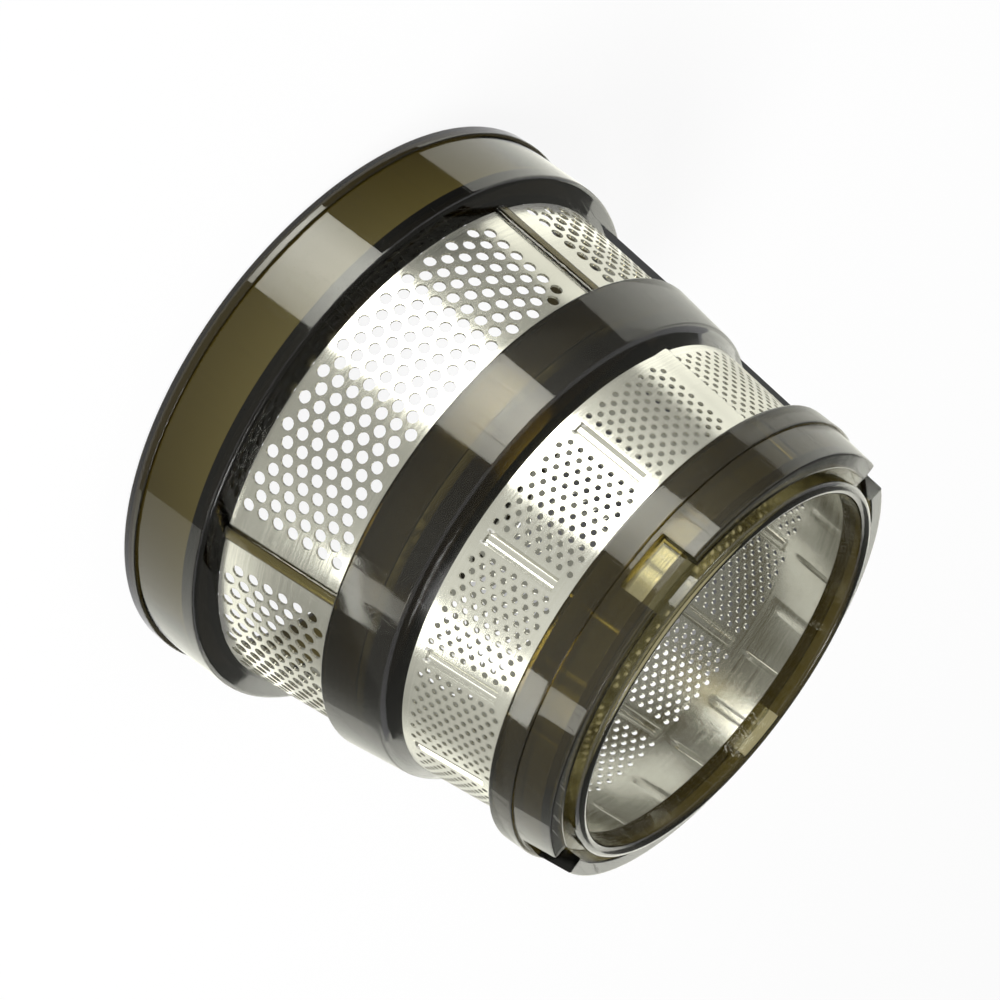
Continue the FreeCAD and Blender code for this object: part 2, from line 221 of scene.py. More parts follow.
def with_marks(tree, grain_scale, smudge_scale):
    """Place the handling marks in a material, on the piece's own coordinates and edges."""
    node = tree.nodes.new("ShaderNodeGroup")
    node.node_tree = marks
    node.inputs["Grain Scale"].default_value = grain_scale
    node.inputs["Smudge Scale"].default_value = smudge_scale
    place = tree.nodes.new("ShaderNodeTexCoord")
    edges = tree.nodes.new("ShaderNodeAttribute")
    edges.attribute_name = "rubbed_edge"
    tree.links.new(place.outputs["Object"], node.inputs["Position"])
    tree.links.new(edges.outputs["Fac"], node.inputs["Edge"])
    return node.outputs


def raised(tree, shader, height, distance, strength):
    """Let a value stand up from the surface as fine relief."""
    node = tree.nodes.new("ShaderNodeBump")
    node.inputs["Distance"].default_value = distance
    node.inputs["Strength"].default_value = strength
    tree.links.new(height, node.inputs["Height"])
    tree.links.new(node.outputs["Normal"], shader.inputs["Normal"])


steel_clean = (0.78, 0.775, 0.72)
steel_handled = (0.66, 0.65, 0.585)
screen_steel = bpy.data.materials.new("screen_steel")
screen_steel.use_nodes = True
steel_tree = screen_steel.node_tree
steel_shader = steel_tree.nodes["Principled BSDF"]
steel_shader.inputs["Metallic"].default_value = 1.0
steel_marks = with_marks(steel_tree, grain_scale=(70, 70, 3200), smudge_scale=45.0)
steel_dull = combined(steel_tree, "MAXIMUM", steel_marks["Smudge"], steel_marks["Rubbed Edge"])
steel_share = levels(steel_tree, steel_dull, to_high=0.7)
steel_tree.links.new(blended(steel_tree, steel_share, steel_clean, steel_handled),
                     steel_shader.inputs["Base Color"])
steel_brushed = levels(steel_tree, steel_marks["Grain"], to_low=0.11, to_high=0.20)
steel_fogged = levels(steel_tree, steel_dull, to_high=0.07)
steel_tree.links.new(combined(steel_tree, "ADD", steel_brushed, steel_fogged),
                     steel_shader.inputs["Roughness"])
raised(steel_tree, steel_shader, steel_marks["Grain"], distance=0.00001, strength=0.25)

upper_sheet = bmesh.new()
half_column = math.radians(upper_column_angle) * upper_roll_radius / 2
half_row = upper_row_pitch / 2
field_foot = upper_first_hole_z - half_row
field_heights = spaced(field_foot, field_foot + upper_rows * upper_row_pitch, ROW_POINTS * upper_rows)
above_field = spaced(field_heights[-1], upper_end_z, upper_margin_rows)
for row in range(upper_short_rows):
    hole_z = upper_first_hole_z + (row + upper_short_start) * upper_row_pitch
    punched_cell(upper_sheet, half_column, hole_z, half_column, half_row, upper_hole / 2)
short_stations = [0, half_column, 2 * half_column]
short_points = round(upper_short_start * ROW_POINTS) + 1
plain_strip(upper_sheet, short_stations, field_heights[:short_points])
plain_strip(upper_sheet, short_stations, field_heights[short_points - 1 + ROW_POINTS * upper_short_rows:])
for row in range(upper_rows):
    hole_z = upper_first_hole_z + row * upper_row_pitch
    punched_cell(upper_sheet, 3 * half_column, hole_z, half_column, half_row, upper_hole / 2)
pair_stations = spaced(0, 4 * half_column, 4)
plain_strip(upper_sheet, pair_stations, [upper_foot_z, field_foot])
plain_strip(upper_sheet, pair_stations, above_field)
rolled(upper_sheet, upper_roll_radius, upper_foot_radius, upper_foot_z, upper_slope)
turned_copies(upper_sheet, 2 * upper_column_angle, upper_column_pairs)
margin = bmesh.new()
margin_stations = spaced(-2 * upper_plain_columns * half_column, 0, 2 * upper_plain_columns)
plain_strip(margin, margin_stations, [upper_foot_z] + field_heights)
plain_strip(margin, margin_stations, above_field)
rolled(margin, upper_roll_radius, upper_foot_radius, upper_foot_z, upper_slope)
margin_data = bpy.data.meshes.new("upper_margin")
margin.to_mesh(margin_data)
margin.free()
upper_sheet.from_mesh(margin_data)
bpy.data.meshes.remove(margin_data)
turned_copies(upper_sheet, 360 / upper_panels, upper_panels)
sheet_given_thickness(upper_sheet)
bmesh.ops.rotate(upper_sheet, verts=upper_sheet.verts, cent=(0, 0, 0),
                 matrix=about_axis(-upper_column_pairs * upper_column_angle))
finished_piece(upper_sheet, "upper_mesh", "upper_screen", screen_steel)

# Lower screen: stainless sheet with finer holes, rolled into a narrower cone and lapped at one seam.
# Its twelve fields of holes lie between beads that are pressed inwards, and the seam takes the place of one
# bead. The plain strip at its end is folded into thin ridges where the end ring is moulded over it.
lower_foot_z = 45.25
lower_end_z = 78.25
lower_foot_radius = 42.2
lower_slope = math.tan(math.radians(8.35))
lower_roll_radius = 40.0
lower_hole = 1.0
lower_rows = 8
lower_row_pitch = 1.95
lower_first_hole_z = 53.6
lower_columns = 12
lower_column_angle = 2.065
lower_fields = 12
lower_start_rows = 8
lower_strip_rows = 12
bead_half_width = 1.2
bead_flat = 0.45
bead_depth = 0.6
bead_foot_z = 53.75
bead_end_z = 66.125
bead_foot_point = 3
bead_end_point = -6
bead_strip_columns = 16
seam_field = 7
seam_step = 0.28
seam_edge = -2.1
ridge_count = 24
ridge_foot_z = 69.4
ridge_proud = 0.2
ridge_half_width = 0.45
ridge_run_in = 1.6
SAME_ROW = 0.01

lower_sheet = bmesh.new()
half_column = math.radians(lower_column_angle) * lower_roll_radius / 2
half_row = lower_row_pitch / 2
field_foot = lower_first_hole_z - half_row
field_heights = spaced(field_foot, field_foot + lower_rows * lower_row_pitch, ROW_POINTS * lower_rows)
start_heights = spaced(lower_foot_z, field_foot, lower_start_rows)
strip_heights = spaced(field_heights[-1], lower_end_z, lower_strip_rows)
half_row_points = ROW_POINTS // 2 + 1
for column in range(lower_columns):
    middle = (2 * column - lower_columns + 1) * half_column
    short = 1 - column % 2
    for row in range(lower_rows - short):
        hole_z = lower_first_hole_z + (row + short / 2) * lower_row_pitch
        punched_cell(lower_sheet, middle, hole_z, half_column, half_row, lower_hole / 2)
    stations = [middle - half_column, middle, middle + half_column]
    if short:
        plain_strip(lower_sheet, stations, field_heights[:half_row_points])
        plain_strip(lower_sheet, stations, field_heights[-half_row_points:])
    plain_strip(lower_sheet, stations, start_heights)
    plain_strip(lower_sheet, stations, strip_heights)
field_edge = lower_columns * half_column
field_width = 2 * math.pi / lower_fields * lower_roll_radius
bead_stations = spaced(field_edge, field_width - field_edge, bead_strip_columns)
plain_strip(lower_sheet, bead_stations, start_heights + field_heights[1:] + strip_heights[1:])
rolled(lower_sheet, lower_roll_radius, lower_foot_radius, lower_foot_z, lower_slope)
turned_copies(lower_sheet, 360 / lower_fields, lower_fields)
bmesh.ops.remove_doubles(lower_sheet, verts=lower_sheet.verts, dist=WELD)


def smooth_fall(share):
    """1 at share 0 and below, 0 at share 1 and above, with no corner at either end."""
    share = min(max(share, 0.0), 1.0)
    return 1 - share * share * (3 - 2 * share)


def off_middle(angle, pitch):
    """Degrees from the middle of the repeat that an angle lies in."""
    return angle % pitch - pitch / 2


field_angle = 360 / lower_fields
ridge_angle = 360 / ridge_count
bead_foot_row = field_heights[bead_foot_point]
bead_end_row = field_heights[bead_end_point]
for vert in lower_sheet.verts:
    radius = vert.co.xy.length
    angle = math.degrees(math.atan2(vert.co.y, vert.co.x)) % 360
    off_bead = math.radians(off_middle(angle, field_angle)) * radius
    push = 0.0
    if angle // field_angle == seam_field:
        if off_bead > seam_edge:
            push = -seam_step * smooth_fall((off_bead - seam_edge) / (2 * abs(seam_edge)))
    elif bead_foot_row - SAME_ROW < vert.co.z < bead_end_row + SAME_ROW:
        push = bead_depth * smooth_fall((abs(off_bead) - bead_flat) / (bead_half_width - bead_flat))
        for row_z, moved_z in ((bead_foot_row, bead_foot_z), (bead_end_row, bead_end_z)):
            if abs(vert.co.z - row_z) < SAME_ROW and push:
                push += (moved_z - row_z) * lower_slope
                vert.co.z = moved_z
    off_ridge = abs(math.radians(off_middle(angle + ridge_angle / 2, ridge_angle))) * radius
    run_in = smooth_fall((ridge_foot_z + ridge_run_in - vert.co.z) / ridge_run_in)
    push += ridge_proud * run_in * smooth_fall(off_ridge / ridge_half_width)
    vert.co.xy *= (radius - push) / radius
sheet_given_thickness(lower_sheet)
finished_piece(lower_sheet, "lower_mesh", "lower_screen", screen_steel)

# Frame: one moulding in smoky see-through plastic, cast over the edges of both screens.
# The wide ring has a rim at its mouth and a shoulder up to the upper screen; four slim ribs lie on the
# screen and run to the middle ring, which ends in a rounded nose over the lower screen.
RING_STEPS = 360
ROUND_STEPS = 3
FLAT_HOLD = 0.2


def drafted(radius, rise, draft):
    """The radius that a drafted wall comes down to over a rise."""
    return radius - rise * math.tan(math.radians(draft))


def turned_ring(mesh, corners):
    """Spin a closed section round the axis. Each corner is a radius, a height and the set-back of its
    rounding. A point held just past each rounding keeps the flat beside it flat in the light."""
    points = []
    for index, (radius, height, set_back) in enumerate(corners):
        here = Vector((radius, 0, height))
        for other in (corners[index - 1], None, corners[(index + 1) % len(corners)]):
            if other is None:
                points.append((here, set_back))
            elif set_back:
                side = Vector((other[0], 0, other[1])) - here
                if side.length > set_back + other[2] + 3 * FLAT_HOLD:
                    points.append((here + side.normalized() * (set_back + FLAT_HOLD), 0))
    verts = [mesh.verts.new(point) for point, _ in points]
    for index in range(len(verts)):
        mesh.edges.new((verts[index - 1], verts[index]))
    made = set(verts)
    for vert, (_, set_back) in zip(verts, points):
        if set_back:
            made.discard(vert)
            made.update(bmesh.ops.bevel(mesh, geom=[vert], offset=set_back, offset_type="OFFSET",
                                        affect="VERTICES", segments=ROUND_STEPS, profile=0.5,
                                        material=-1)["verts"])
    kept = [vert for vert in made if vert.is_valid]
    loop = {edge for vert in kept for edge in vert.link_edges if not edge.link_faces}
    bmesh.ops.spin(mesh, geom=kept + list(loop), cent=(0, 0, 0), axis=(0, 0, 1), angle=2 * math.pi,
                   steps=RING_STEPS, use_merge=True, use_duplicate=False)


def off_turn(point, middle):
    """Degrees round the axis from a middle angle to a point."""
    return (math.degrees(math.atan2(point.y, point.x)) - middle + 180) % 360 - 180


def border_edges(faces):
    """The edges round a group of faces."""
    chosen = set(faces)
    return [edge for face in faces for edge in face.edges if not chosen.issuperset(edge.link_faces)]


smoke_colour = (0.475, 0.425, 0.135, 1)
frame_smoke_density = 2300.0
plastic_clean = (0.95, 0.94, 0.9)
plastic_scuffed = (0.84, 0.82, 0.77)
smoky_plastic = bpy.data.materials.new("smoky_plastic")
smoky_plastic.use_nodes = True
plastic_tree = smoky_plastic.node_tree
plastic_shader = plastic_tree.nodes["Principled BSDF"]
plastic_shader.inputs["IOR"].default_value = 1.52
plastic_shader.inputs["Transmission Weight"].default_value = 1.0
plastic_marks = with_marks(plastic_tree, grain_scale=(110, 110, 110), smudge_scale=70.0)
plastic_worn = combined(plastic_tree, "MAXIMUM", plastic_marks["Scratch"], plastic_marks["Rubbed Edge"])
plastic_tree.links.new(blended(plastic_tree, plastic_worn, plastic_clean, plastic_scuffed),
                       plastic_shader.inputs["Base Color"])
plastic_gloss = levels(plastic_tree, plastic_marks["Smudge"], to_low=0.035, to_high=0.085)
plastic_scuff = levels(plastic_tree, plastic_worn, to_high=0.12)
plastic_tree.links.new(combined(plastic_tree, "ADD", plastic_gloss, plastic_scuff),
                       plastic_shader.inputs["Roughness"])
raised(plastic_tree, plastic_shader, plastic_marks["Grain"], distance=0.00003, strength=0.12)
smoke = plastic_tree.nodes.new("ShaderNodeVolumeAbsorption")
smoke.inputs["Color"].default_value = smoke_colour
smoke.inputs["Density"].default_value = frame_smoke_density
plastic_tree.links.new(smoke.outputs["Volume"], plastic_tree.nodes["Material Output"].inputs["Volume"])

sheet_seat = 0.5
rim_radius = 52.0
rim_height = 2.5
rim_proud = 0.55
wide_wall = 2.6
wide_band_height = 12.8
wide_band_draft = 2.0
shoulder_width = 4.2
shoulder_rise = 1.0
shoulder_lap = 2.8
seat_plate = 1.5
upper_window_height = 21.7
rib_proud = 0.7
mid_proud = 1.7
mid_height = 11.7
mid_draft = 10.0
mid_nose_rise = 1.8
mid_lap = 6.0
mid_land = 1.2
screen_step = 0.8
rim_round = 0.3
small_round = 0.2
band_round = 0.6
mouth_round = 0.4
mid_foot_round = 0.25
mid_nose_round = 0.9
mouth_radius = rim_radius - wide_wall
band_foot_radius = rim_radius - rim_proud
band_top_radius = drafted(band_foot_radius, wide_band_height, wide_band_draft)
shoulder_z = rim_height + wide_band_height
window_z = shoulder_z + shoulder_rise
window_radius = band_top_radius - shoulder_width
upper_seat_z = window_z - shoulder_lap
upper_seat_radius = window_radius + shoulder_lap * upper_slope
shelf_z = upper_seat_z - seat_plate
rib_foot_radius = window_radius + rib_proud
rib_foot_z = window_z - rib_proud * shoulder_rise / shoulder_width
mid_z = window_z + upper_window_height
mid_sheet_radius = window_radius - upper_window_height * upper_slope
rib_head_radius = mid_sheet_radius + rib_proud
mid_foot_radius = mid_sheet_radius + mid_proud
mid_nose_radius = drafted(mid_foot_radius, mid_height, mid_draft)
mid_nose_z = mid_z + mid_height
lower_window_z = mid_nose_z + mid_nose_rise
lower_window_radius = mid_sheet_radius - (lower_window_z - mid_z) * upper_slope - screen_step
upper_stop_z = mid_z + mid_lap
upper_stop_radius = mid_sheet_radius - mid_lap * upper_slope
lower_seat_z = upper_stop_z + mid_land
lower_seat_radius = lower_window_radius + (lower_window_z - lower_seat_z) * lower_slope

moulding = bmesh.new()
turned_ring(moulding, [
    (mouth_radius, 0.0, rim_round),
    (rim_radius, 0.0, rim_round),
    (rim_radius, rim_height, small_round),
    (band_foot_radius, rim_height, 0),
    (band_top_radius, shoulder_z, band_round),
    (rib_foot_radius, rib_foot_z, 0),
    (window_radius, window_z, 0),
    (upper_seat_radius, upper_seat_z, 0),
    (upper_seat_radius - sheet_seat, upper_seat_z, 0),
    (upper_seat_radius - sheet_seat, shelf_z, small_round),
    (mouth_radius, shelf_z, mouth_round),
])
turned_ring(moulding, [
    (mid_sheet_radius, mid_z, 0),
    (rib_head_radius, mid_z, 0),
    (mid_foot_radius, mid_z, mid_foot_round),
    (mid_nose_radius, mid_nose_z, mid_nose_round),
    (lower_window_radius, lower_window_z, 0),
    (lower_seat_radius, lower_seat_z, 0),
    (lower_seat_radius - sheet_seat, lower_seat_z, 0),
    (upper_stop_radius - sheet_seat, upper_stop_z, 0),
    (upper_stop_radius, upper_stop_z, 0),
])
rib_middles = (45, 135, 225, 315)
rib_half_angle = 1.5
rib_rounding = 0.6
rib_rounding_steps = 5
rib_least_length = 15
rib_ends = (((rib_foot_radius + window_radius) / 2, (rib_foot_z + window_z) / 2),
            ((rib_head_radius + mid_sheet_radius) / 2, mid_z))
NEAR = 0.1
half_step = 180 / RING_STEPS
bmesh.ops.rotate(moulding, verts=moulding.verts, cent=(0, 0, 0), matrix=about_axis(half_step))
for middle in rib_middles:
    ends = []
    for radius, height in rib_ends:
        patch = [face for face in moulding.faces
                 if abs(face.calc_center_median().xy.length - radius) < NEAR
                 and abs(face.calc_center_median().z - height) < NEAR
                 and abs(off_turn(face.calc_center_median(), middle)) < rib_half_angle]
        ends += border_edges(patch)
        bmesh.ops.delete(moulding, geom=patch, context="FACES")
    bmesh.ops.bridge_loops(moulding, edges=ends)
    top_corners = [edge for edge in moulding.edges
                   if abs(edge.verts[0].co.z - edge.verts[1].co.z) > rib_least_length
                   and max(vert.co.xy.length for vert in edge.verts) > rib_foot_radius - NEAR
                   and all(abs(abs(off_turn(vert.co, middle)) - rib_half_angle) < NEAR
                           for vert in edge.verts)]
    bmesh.ops.bevel(moulding, geom=top_corners, offset=rib_rounding, offset_type="OFFSET", affect="EDGES",
                    segments=rib_rounding_steps, profile=0.5, material=-1, clamp_overlap=True)
bmesh.ops.recalc_face_normals(moulding, faces=moulding.faces)
finished_piece(moulding, "frame_moulding", "frame", smoky_plastic)

# End ring: a second moulding in the same plastic, cast over the plain strip of the lower screen.
# A collar steps up to a tapered flange with four notches, and behind a narrow groove the raised lip rings
# the bore. The notches open into the groove and leave only a thin skin of plastic over the steel.
end_smoke_density = 950.0
end_plastic = smoky_plastic.copy()
end_plastic.name = "smoky_plastic_end"
end_plastic.node_tree.nodes["Volume Absorption"].inputs["Density"].default_value = end_smoke_density

lower_window_height = 18.4
collar_proud = 3.0
collar_height = 4.6
collar_draft = 3.0
flange_step = 0.5
flange_height = 6.7
flange_draft = 9.0
flange_wall = 2.8
groove_width = 1.7
groove_depth = 1.7
groove_floor = 1.2
lip_wall = 2.1
lip_rise = 1.8
notch_setback = 0.7
notch_floor_radius = 38.75
notch_end_radius = 38.15
collar_round = 0.3
groove_round = 0.15
lip_round = 1.0
collar_z = lower_window_z + lower_window_height
collar_sheet_radius = lower_window_radius - lower_window_height * lower_slope
collar_foot_radius = collar_sheet_radius + collar_proud
collar_top_radius = drafted(collar_foot_radius, collar_height, collar_draft)
flange_z = collar_z + collar_height
flange_foot_radius = collar_top_radius - flange_step
flange_top_radius = drafted(flange_foot_radius, flange_height, flange_draft)
flange_top_z = flange_z + flange_height
groove_radius = flange_top_radius - flange_wall
groove_z = flange_top_z - groove_depth
lip_radius = groove_radius - groove_width
lip_z = flange_top_z + lip_rise
bore_radius = lip_radius - lip_wall
strip_end_z = groove_z - groove_floor
strip_end_radius = lower_window_radius - (strip_end_z - lower_window_z) * lower_slope
notch_foot_radius = drafted(flange_foot_radius, notch_setback, flange_draft)
notch_z = flange_z + notch_setback

collar = bmesh.new()
turned_ring(collar, [
    (collar_sheet_radius, collar_z, 0),
    (collar_foot_radius, collar_z, collar_round),
    (collar_top_radius, flange_z, small_round),
    (flange_foot_radius, flange_z, 0),
    (notch_foot_radius, notch_z, 0),
    (flange_top_radius, flange_top_z, small_round),
    (groove_radius, flange_top_z, groove_round),
    (groove_radius, groove_z, 0),
    (lip_radius, groove_z, 0),
    (lip_radius, lip_z, lip_round),
    (bore_radius, lip_z, lip_round),
    (bore_radius, strip_end_z, small_round),
    (strip_end_radius, strip_end_z, 0),
])
notch_middles = (0, 90, 180, 270)
notch_half_angle = 7.0
for middle in notch_middles:
    cut = [face for face in collar.faces
           if face.calc_center_median().z > notch_z
           and face.calc_center_median().xy.length > groove_radius - NEAR
           and abs(off_turn(face.calc_center_median(), middle)) < notch_half_angle]
    rim = border_edges(cut)
    bmesh.ops.delete(collar, geom=cut, context="FACES")
    rim = [edge for edge in rim if edge.is_valid]
    floor_edges = []
    for height, radius, floor_radius in ((notch_z, notch_foot_radius, notch_floor_radius),
                                         (groove_z, groove_radius, notch_end_radius)):
        line = [edge for edge in rim if all(abs(vert.co.z - height) < SAME_ROW for vert in edge.verts)]
        grown = bmesh.ops.extrude_edge_only(collar, edges=line)["geom"]
        floor_verts = {item for item in grown if isinstance(item, bmesh.types.BMVert)}
        drawn_in = floor_radius / radius
        bmesh.ops.scale(collar, vec=(drawn_in, drawn_in, 1), verts=list(floor_verts))
        floor_edges += [item for item in grown
                        if isinstance(item, bmesh.types.BMEdge) and floor_verts.issuperset(item.verts)]
    bmesh.ops.bridge_loops(collar, edges=floor_edges)
    bmesh.ops.holes_fill(collar, edges=[edge for edge in collar.edges if edge.is_boundary], sides=0)
bmesh.ops.recalc_face_normals(collar, faces=collar.faces)
finished_piece(collar, "end_ring_moulding", "end_ring", end_plastic)

# Studio: a pale floor that keeps a soft shadow, a white surround and one key lamp over the part.
# Light panels and grey flags lie on the floor and stand round the part, each where one of its surfaces
# mirrors it. The camera sees none of them but painted_shade_behind, a dim glowing card seen only through
# the holes of the far walls. It paints the shade inside the part and, at one end of each wall, a painted
# patch of light.
bpy.context.scene.view_settings.view_transform = "Standard"
surround_level_unseen = 0.5
surround_level_seen = 1.0
floor_shade = (0.9, 0.9, 0.9, 1)
floor_glow_share = 0.9
floor_half_size = 4.0
floor_z = -0.0003


def shown_directly(tree):
    """1 for what the camera sees straight, in a reflection or through the plastic, and 0 for other light."""
    path = tree.nodes.new("ShaderNodeLightPath")
    seen = combined(tree, "MAXIMUM", path.outputs["Is Camera Ray"], path.outputs["Is Glossy Ray"])
    return combined(tree, "MAXIMUM", seen, path.outputs["Is Transmission Ray"])


def staged(name, mesh, material):
    """Add a mesh to the stage, in metres."""
    data = bpy.data.meshes.new(name)
    mesh.to_mesh(data)
    mesh.free()
    data.materials.append(material)
    item = bpy.data.objects.new(name, data)
    bpy.context.scene.collection.objects.link(item)
    return item


surround = bpy.data.worlds.new("white_surround")
surround.use_nodes = True
bpy.context.scene.world = surround
surround_tree = surround.node_tree
surround_light = surround_tree.nodes["Background"]
surround_light.inputs["Color"].default_value = (1, 1, 1, 1)
surround_strength = levels(surround_tree, shown_directly(surround_tree),
                           to_low=surround_level_unseen, to_high=surround_level_seen)
surround_tree.links.new(surround_strength, surround_light.inputs["Strength"])

pale_floor = bpy.data.materials.new("pale_floor")
pale_floor.use_nodes = True
floor_tree = pale_floor.node_tree
floor_paint = floor_tree.nodes["Principled BSDF"]
floor_paint.inputs["Base Color"].default_value = floor_shade
floor_paint.inputs["Roughness"].default_value = 1.0
floor_paint.inputs["Specular IOR Level"].default_value = 0.0
floor_glow = floor_tree.nodes.new("ShaderNodeEmission")
floor_mix = floor_tree.nodes.new("ShaderNodeMixShader")
floor_tree.links.new(combined(floor_tree, "MULTIPLY", shown_directly(floor_tree), floor_glow_share),
                     floor_mix.inputs["Fac"])
floor_tree.links.new(floor_paint.outputs["BSDF"], floor_mix.inputs[1])
floor_tree.links.new(floor_glow.outputs["Emission"], floor_mix.inputs[2])
floor_tree.links.new(floor_mix.outputs["Shader"], floor_tree.nodes["Material Output"].inputs["Surface"])
floor_mesh = bmesh.new()
bmesh.ops.create_grid(floor_mesh, x_segments=1, y_segments=1, size=floor_half_size,
                      matrix=Matrix.Translation((0, 0, floor_z)))
staged("floor", floor_mesh, pale_floor)

camera_turn = -81.75
card_start = 0.0535
card_z = 0.0004
CARD_STEPS = 24
card_light = bpy.data.materials.new("card_light")
card_light.use_nodes = True
card_tree = card_light.node_tree
card_level = card_tree.nodes.new("ShaderNodeAttribute")
card_level.attribute_name = "level"
card_glow = card_tree.nodes.new("ShaderNodeEmission")
card_glow.inputs["Color"].default_value = (1.0, 1.0, 0.9, 1)
card_tree.links.new(card_level.outputs["Fac"], card_glow.inputs["Strength"])
card_tree.links.new(card_glow.outputs["Emission"], card_tree.nodes["Material Output"].inputs["Surface"])


def set_up_card(name, mesh, seen_through):
    """Add a card that only reflections show, or the plastic too where it is seen through."""
    card = staged(name, mesh, card_light)
    card.visible_camera = False
    card.visible_diffuse = False
    card.visible_transmission = seen_through
    card.visible_shadow = False


def part_way(ends, share):
    """A number part of the way along a pair, or the number itself where there is no pair."""
    if isinstance(ends, tuple):
        return ends[0] + (ends[1] - ends[0]) * share
    return ends


def level_at(lights, share):
    """The light level part of the way along a row of levels."""
    place = share * (len(lights) - 1)
    before = min(int(place), len(lights) - 2)
    return part_way(lights[before:before + 2], place - before)


# Each card has a name, the turns of the surfaces that mirror its two ends, how far out from the part it
# starts and stops in metres (a pair where that changes from end to end), light levels from end to end,
# and whether it also shows through the plastic.
cards = [
    ("panel_left_near", -170, -130.2, 0.0, 0.06, (1.45, 1.6), False),
    ("panel_left_middle", -170, -128.2, 0.06, (0.088, 0.147), (0.85, 0.9, 1.0), False),
    ("panel_left_ring", -170, -128.2, (0.088, 0.147), (0.128, 0.217),
     (0.85, 0.95, 1.25, 1.6, 1.7, 1.45), False),
    ("panel_left_screen", -170, -128.2, (0.128, 0.217), (0.2, 0.39), (0.8, 0.85, 1.0), False),
    ("panel_left_far", -170, -128.2, (0.2, 0.39), 1.6, (1.0, 1.15, 1.45, 1.6, 1.65, 1.2), False),
    ("flag_left_near", -130.2, -106.2, 0.0, 0.06, (0.1, 0.15, 0.3), False),
    ("flag_left_middle", -128.2, -106.2, 0.06, 0.215, (0.33, 0.4, 0.5), False),
    ("flag_left_far", -128.2, -106.2, 0.215, 1.6, (0.4, 0.45, 0.7, 0.9), False),
    ("panel_front", -106.2, -87.2, 0.0, (0.6, 0.66), (6.5, 9.0, 9.0, 7.0, 5.0), True),
    ("panel_front_notch", -106.2, -87.2, (0.6, 0.66), (0.84, 1.0), (2.2, 2.3, 2.3, 2.1, 1.8), True),
    ("panel_front_far", -106.2, -87.2, (0.84, 1.0), 3.0, (6.0, 7.3, 7.3, 6.0, 4.5), False),
    ("flag_right_near", -87.2, -43.6, 0.0, 0.06, (0.45, 0.45, 0.4), False),
    ("panel_right_near", -43.6, 8, 0.0, 0.06, (1.25, 1.4, 1.6, 1.45), False),
    ("flag_right_middle", -87.2, -16.7, 0.06, 0.215, (0.42, 0.38, 0.36, 0.6, 0.4, 0.35, 0.4, 0.8), False),
    ("flag_right_far", -87.2, -16.7, 0.215, 1.6, (0.5, 0.6, 0.75, 0.8, 0.65, 0.6, 0.55, 0.6, 0.8), False),
    ("panel_right_middle", -16.7, 8, 0.06, (0.1, 0.08), (0.95, 0.9), False),
    ("panel_right_ring", -16.7, 8, (0.1, 0.08), (0.16, 0.12), (1.3, 1.2, 1.0), False),
    ("panel_right_screen", -16.7, 8, (0.16, 0.12), (0.28, 0.2), (0.9, 0.85), False),
]
cards_on_top = [
    ("panel_left_collar", -170, -128.2, (0.19, 0.215), (0.21, 0.235),
     (0.85, 0.9, 1.1, 1.25, 1.4, 1.4), False),
    ("panel_front_collar", -106.2, -87.2, 0.215, 0.25, (5.3, 6.3, 6.0, 4.5, 3.0), True),
    ("panel_right_collar", -21.0, 8, 0.2, 0.23, (1.2, 1.25, 1.3), False),
    ("panel_right_far", -21.0, 8, (0.29, 0.2), 1.6, (1.7, 1.75, 1.6), False),
    ("panel_small", -54.0, -48.4, 0.14, 0.212, (4.5, 4.5), True),
    ("panel_small_collar", -57.0, -44.5, 0.212, 0.245, (7.0, 7.0), True),
    ("panel_small_ring", -54.6, -49.4, 0.245, 0.31, (3.9, 3.9), True),
    ("panel_small_screen", -54.0, -48.4, 0.31, 0.55, (2.5, 2.5), True),
    ("panel_small_far", -57.0, -50.0, 0.55, 1.6, (4.3, 4.3), True),
]
for height, group in ((card_z, cards), (2 * card_z, cards_on_top)):
    for name, first, last, near, far, lights, seen_through in group:
        card_mesh = bmesh.new()
        level = card_mesh.verts.layers.float.new("level")
        lines = ([], [])
        for step, turn in enumerate(spaced(first, last, CARD_STEPS)):
            share = step / CARD_STEPS
            start = about_axis(turn) @ Vector((card_start, 0, height))
            away = about_axis(2 * turn - camera_turn) @ Vector((1, 0, 0))
            for line, distance in zip(lines, (near, far)):
                line.append(card_mesh.verts.new(start + away * part_way(distance, share)))
                line[-1][level] = level_at(lights, share)
        sides = [card_mesh.edges.new(pair) for line in lines for pair in zip(line, line[1:])]
        bmesh.ops.bridge_loops(card_mesh, edges=sides)
        set_up_card(name, card_mesh, seen_through)

# Two round flags, with a radius, a height and a level: one closes the mouth and one hangs over the part.
round_flags = [
    ("flag_mouth", 0.0488, card_z, 0.28),
    ("flag_over", 1.4, 0.5, 0.3),
]
for name, radius, height, light in round_flags:
    card_mesh = bmesh.new()
    level = card_mesh.verts.layers.float.new("level")
    disc = bmesh.ops.create_circle(card_mesh, cap_ends=True, segments=2 * CARD_STEPS, radius=radius,
                                   matrix=Matrix.Translation((0, 0, height)))
    for vert in disc["verts"]:
        vert[level] = light
    set_up_card(name, card_mesh, False)


def add_wall(mesh, turns, lights, foot, head):
    """Stand a wall round the axis that faces it. Foot and head are a radius and a height in metres."""
    level = mesh.verts.layers.float["level"]
    lines = ([], [])
    for turn, light in zip(turns, lights):
        for line, (radius, height) in zip(lines, (foot, head)):
            line.append(mesh.verts.new(about_axis(turn) @ Vector((radius, 0, height))))
            line[-1][level] = light
    low, high = lines
    for index in range(len(low) - 1):
        mesh.faces.new((low[index], high[index], high[index + 1], low[index + 1]))


panel_behind_level = 2.2
panel_behind_turns = (45, 140)
panel_behind_distance = 1.2
panel_behind_height = 0.5
card_mesh = bmesh.new()
card_mesh.verts.layers.float.new("level")
add_wall(card_mesh, spaced(*panel_behind_turns, CARD_STEPS), [panel_behind_level] * (CARD_STEPS + 1),
         (panel_behind_distance, 0.0), (panel_behind_distance, panel_behind_height))
set_up_card("panel_behind", card_mesh, False)
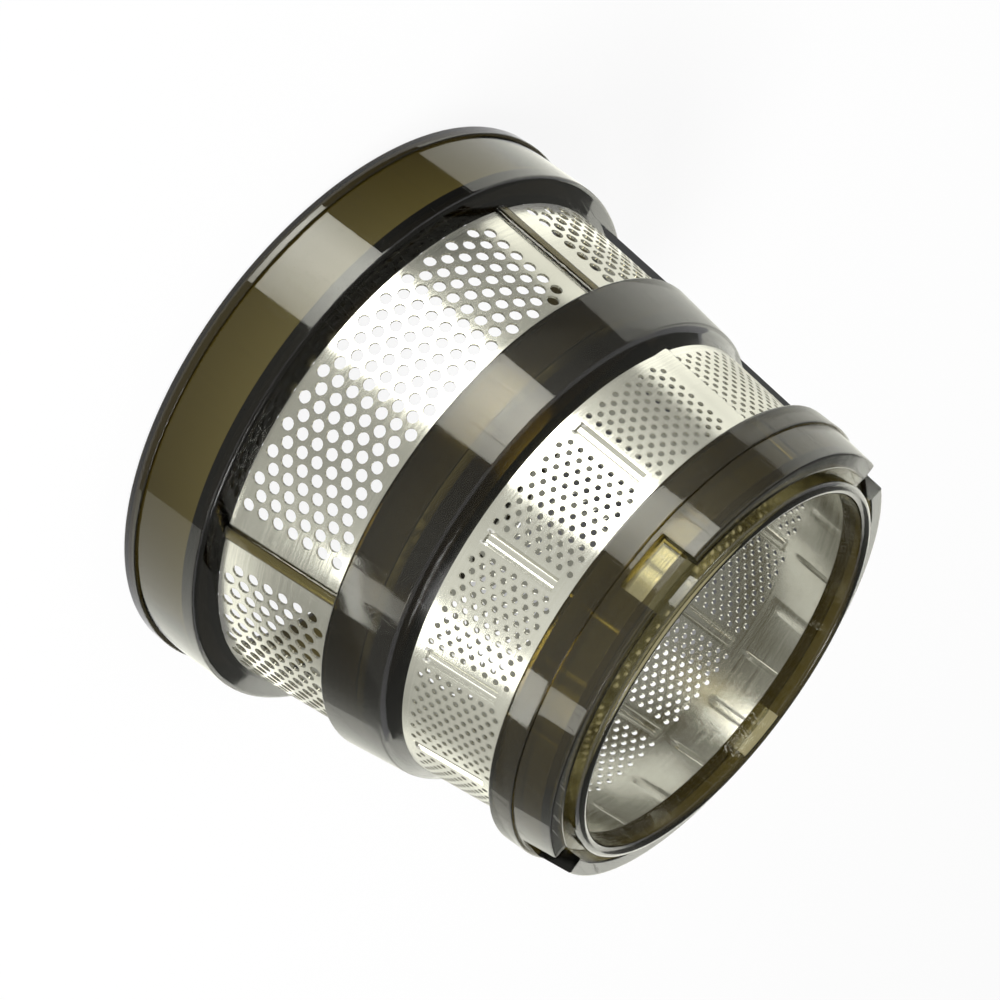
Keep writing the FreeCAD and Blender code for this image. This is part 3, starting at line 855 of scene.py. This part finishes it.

# The card behind glows dim grey where the camera looks through the holes of the far walls. It paints the
# shade inside the part, and its brighter first levels paint a patch of light there.
painted_shade_card = bpy.data.materials.new("painted_shade_card")
painted_shade_card.use_nodes = True
behind_tree = painted_shade_card.node_tree
behind_level = behind_tree.nodes.new("ShaderNodeAttribute")
behind_level.attribute_name = "level"
behind_glow = behind_tree.nodes.new("ShaderNodeEmission")
behind_clear = behind_tree.nodes.new("ShaderNodeBsdfTransparent")
behind_side = behind_tree.nodes.new("ShaderNodeNewGeometry")
behind_mix = behind_tree.nodes.new("ShaderNodeMixShader")
behind_tree.links.new(behind_level.outputs["Fac"], behind_glow.inputs["Strength"])
behind_tree.links.new(behind_side.outputs["Backfacing"], behind_mix.inputs["Fac"])
behind_tree.links.new(behind_glow.outputs["Emission"], behind_mix.inputs[1])
behind_tree.links.new(behind_clear.outputs["BSDF"], behind_mix.inputs[2])
behind_tree.links.new(behind_mix.outputs["Shader"], behind_tree.nodes["Material Output"].inputs["Surface"])
# The painted-shade card has a wall outside each screen: its two turns, its foot and head as a radius and a
# height in metres, and its levels of painted shade and light from end to end.
behind_walls = [
    (95, 205, (0.0421, 0.052), (0.0396, 0.0695), (0.3, 0.1, 0.06, 0.06, 0.06, 0.06, 0.06)),
    (78, 205, (0.048, 0.017), (0.0453, 0.0375), (0.6, 0.12, 0.06, 0.06, 0.06, 0.06, 0.06, 0.06)),
]
behind_mesh = bmesh.new()
behind_mesh.verts.layers.float.new("level")
for first, last, foot, head, lights in behind_walls:
    add_wall(behind_mesh, spaced(first, last, len(lights) - 1), lights, foot, head)
# Painted shade: this card's glow stands in for the shade seen through the holes of the far walls.
painted_shade_behind = staged("painted_shade_behind", behind_mesh, painted_shade_card)
painted_shade_behind.visible_diffuse = False
painted_shade_behind.visible_glossy = False
painted_shade_behind.visible_transmission = False
painted_shade_behind.visible_shadow = False

key_light = bpy.data.lights.new("key_lamp", "AREA")
key_light.shape = "RECTANGLE"
key_light.size = 0.5
key_light.size_y = 0.35
key_light.energy = 9.0
key_lamp = bpy.data.objects.new("key_lamp", key_light)
key_lamp.location = (0.55, -0.25, 0.9)
lamp_aim = Vector((0, 0, 0.04))
key_lamp.rotation_euler = (lamp_aim - key_lamp.location).to_track_quat("-Z", "Y").to_euler()
bpy.context.scene.collection.objects.link(key_lamp)

# Camera: the photograph's angle, rolled so that the sleeve's axis runs down to the right.
lens = bpy.data.cameras.new("camera")
lens.lens = 95.286
lens.sensor_width = 36.0
camera = bpy.data.objects.new("camera", lens)
camera.location = (0.0565156, -0.3899102, 0.2163857)
camera.rotation_euler = (math.radians(-51.8276), math.radians(-46.9358), math.radians(158.4792))
bpy.context.scene.collection.objects.link(camera)
bpy.context.scene.camera = camera
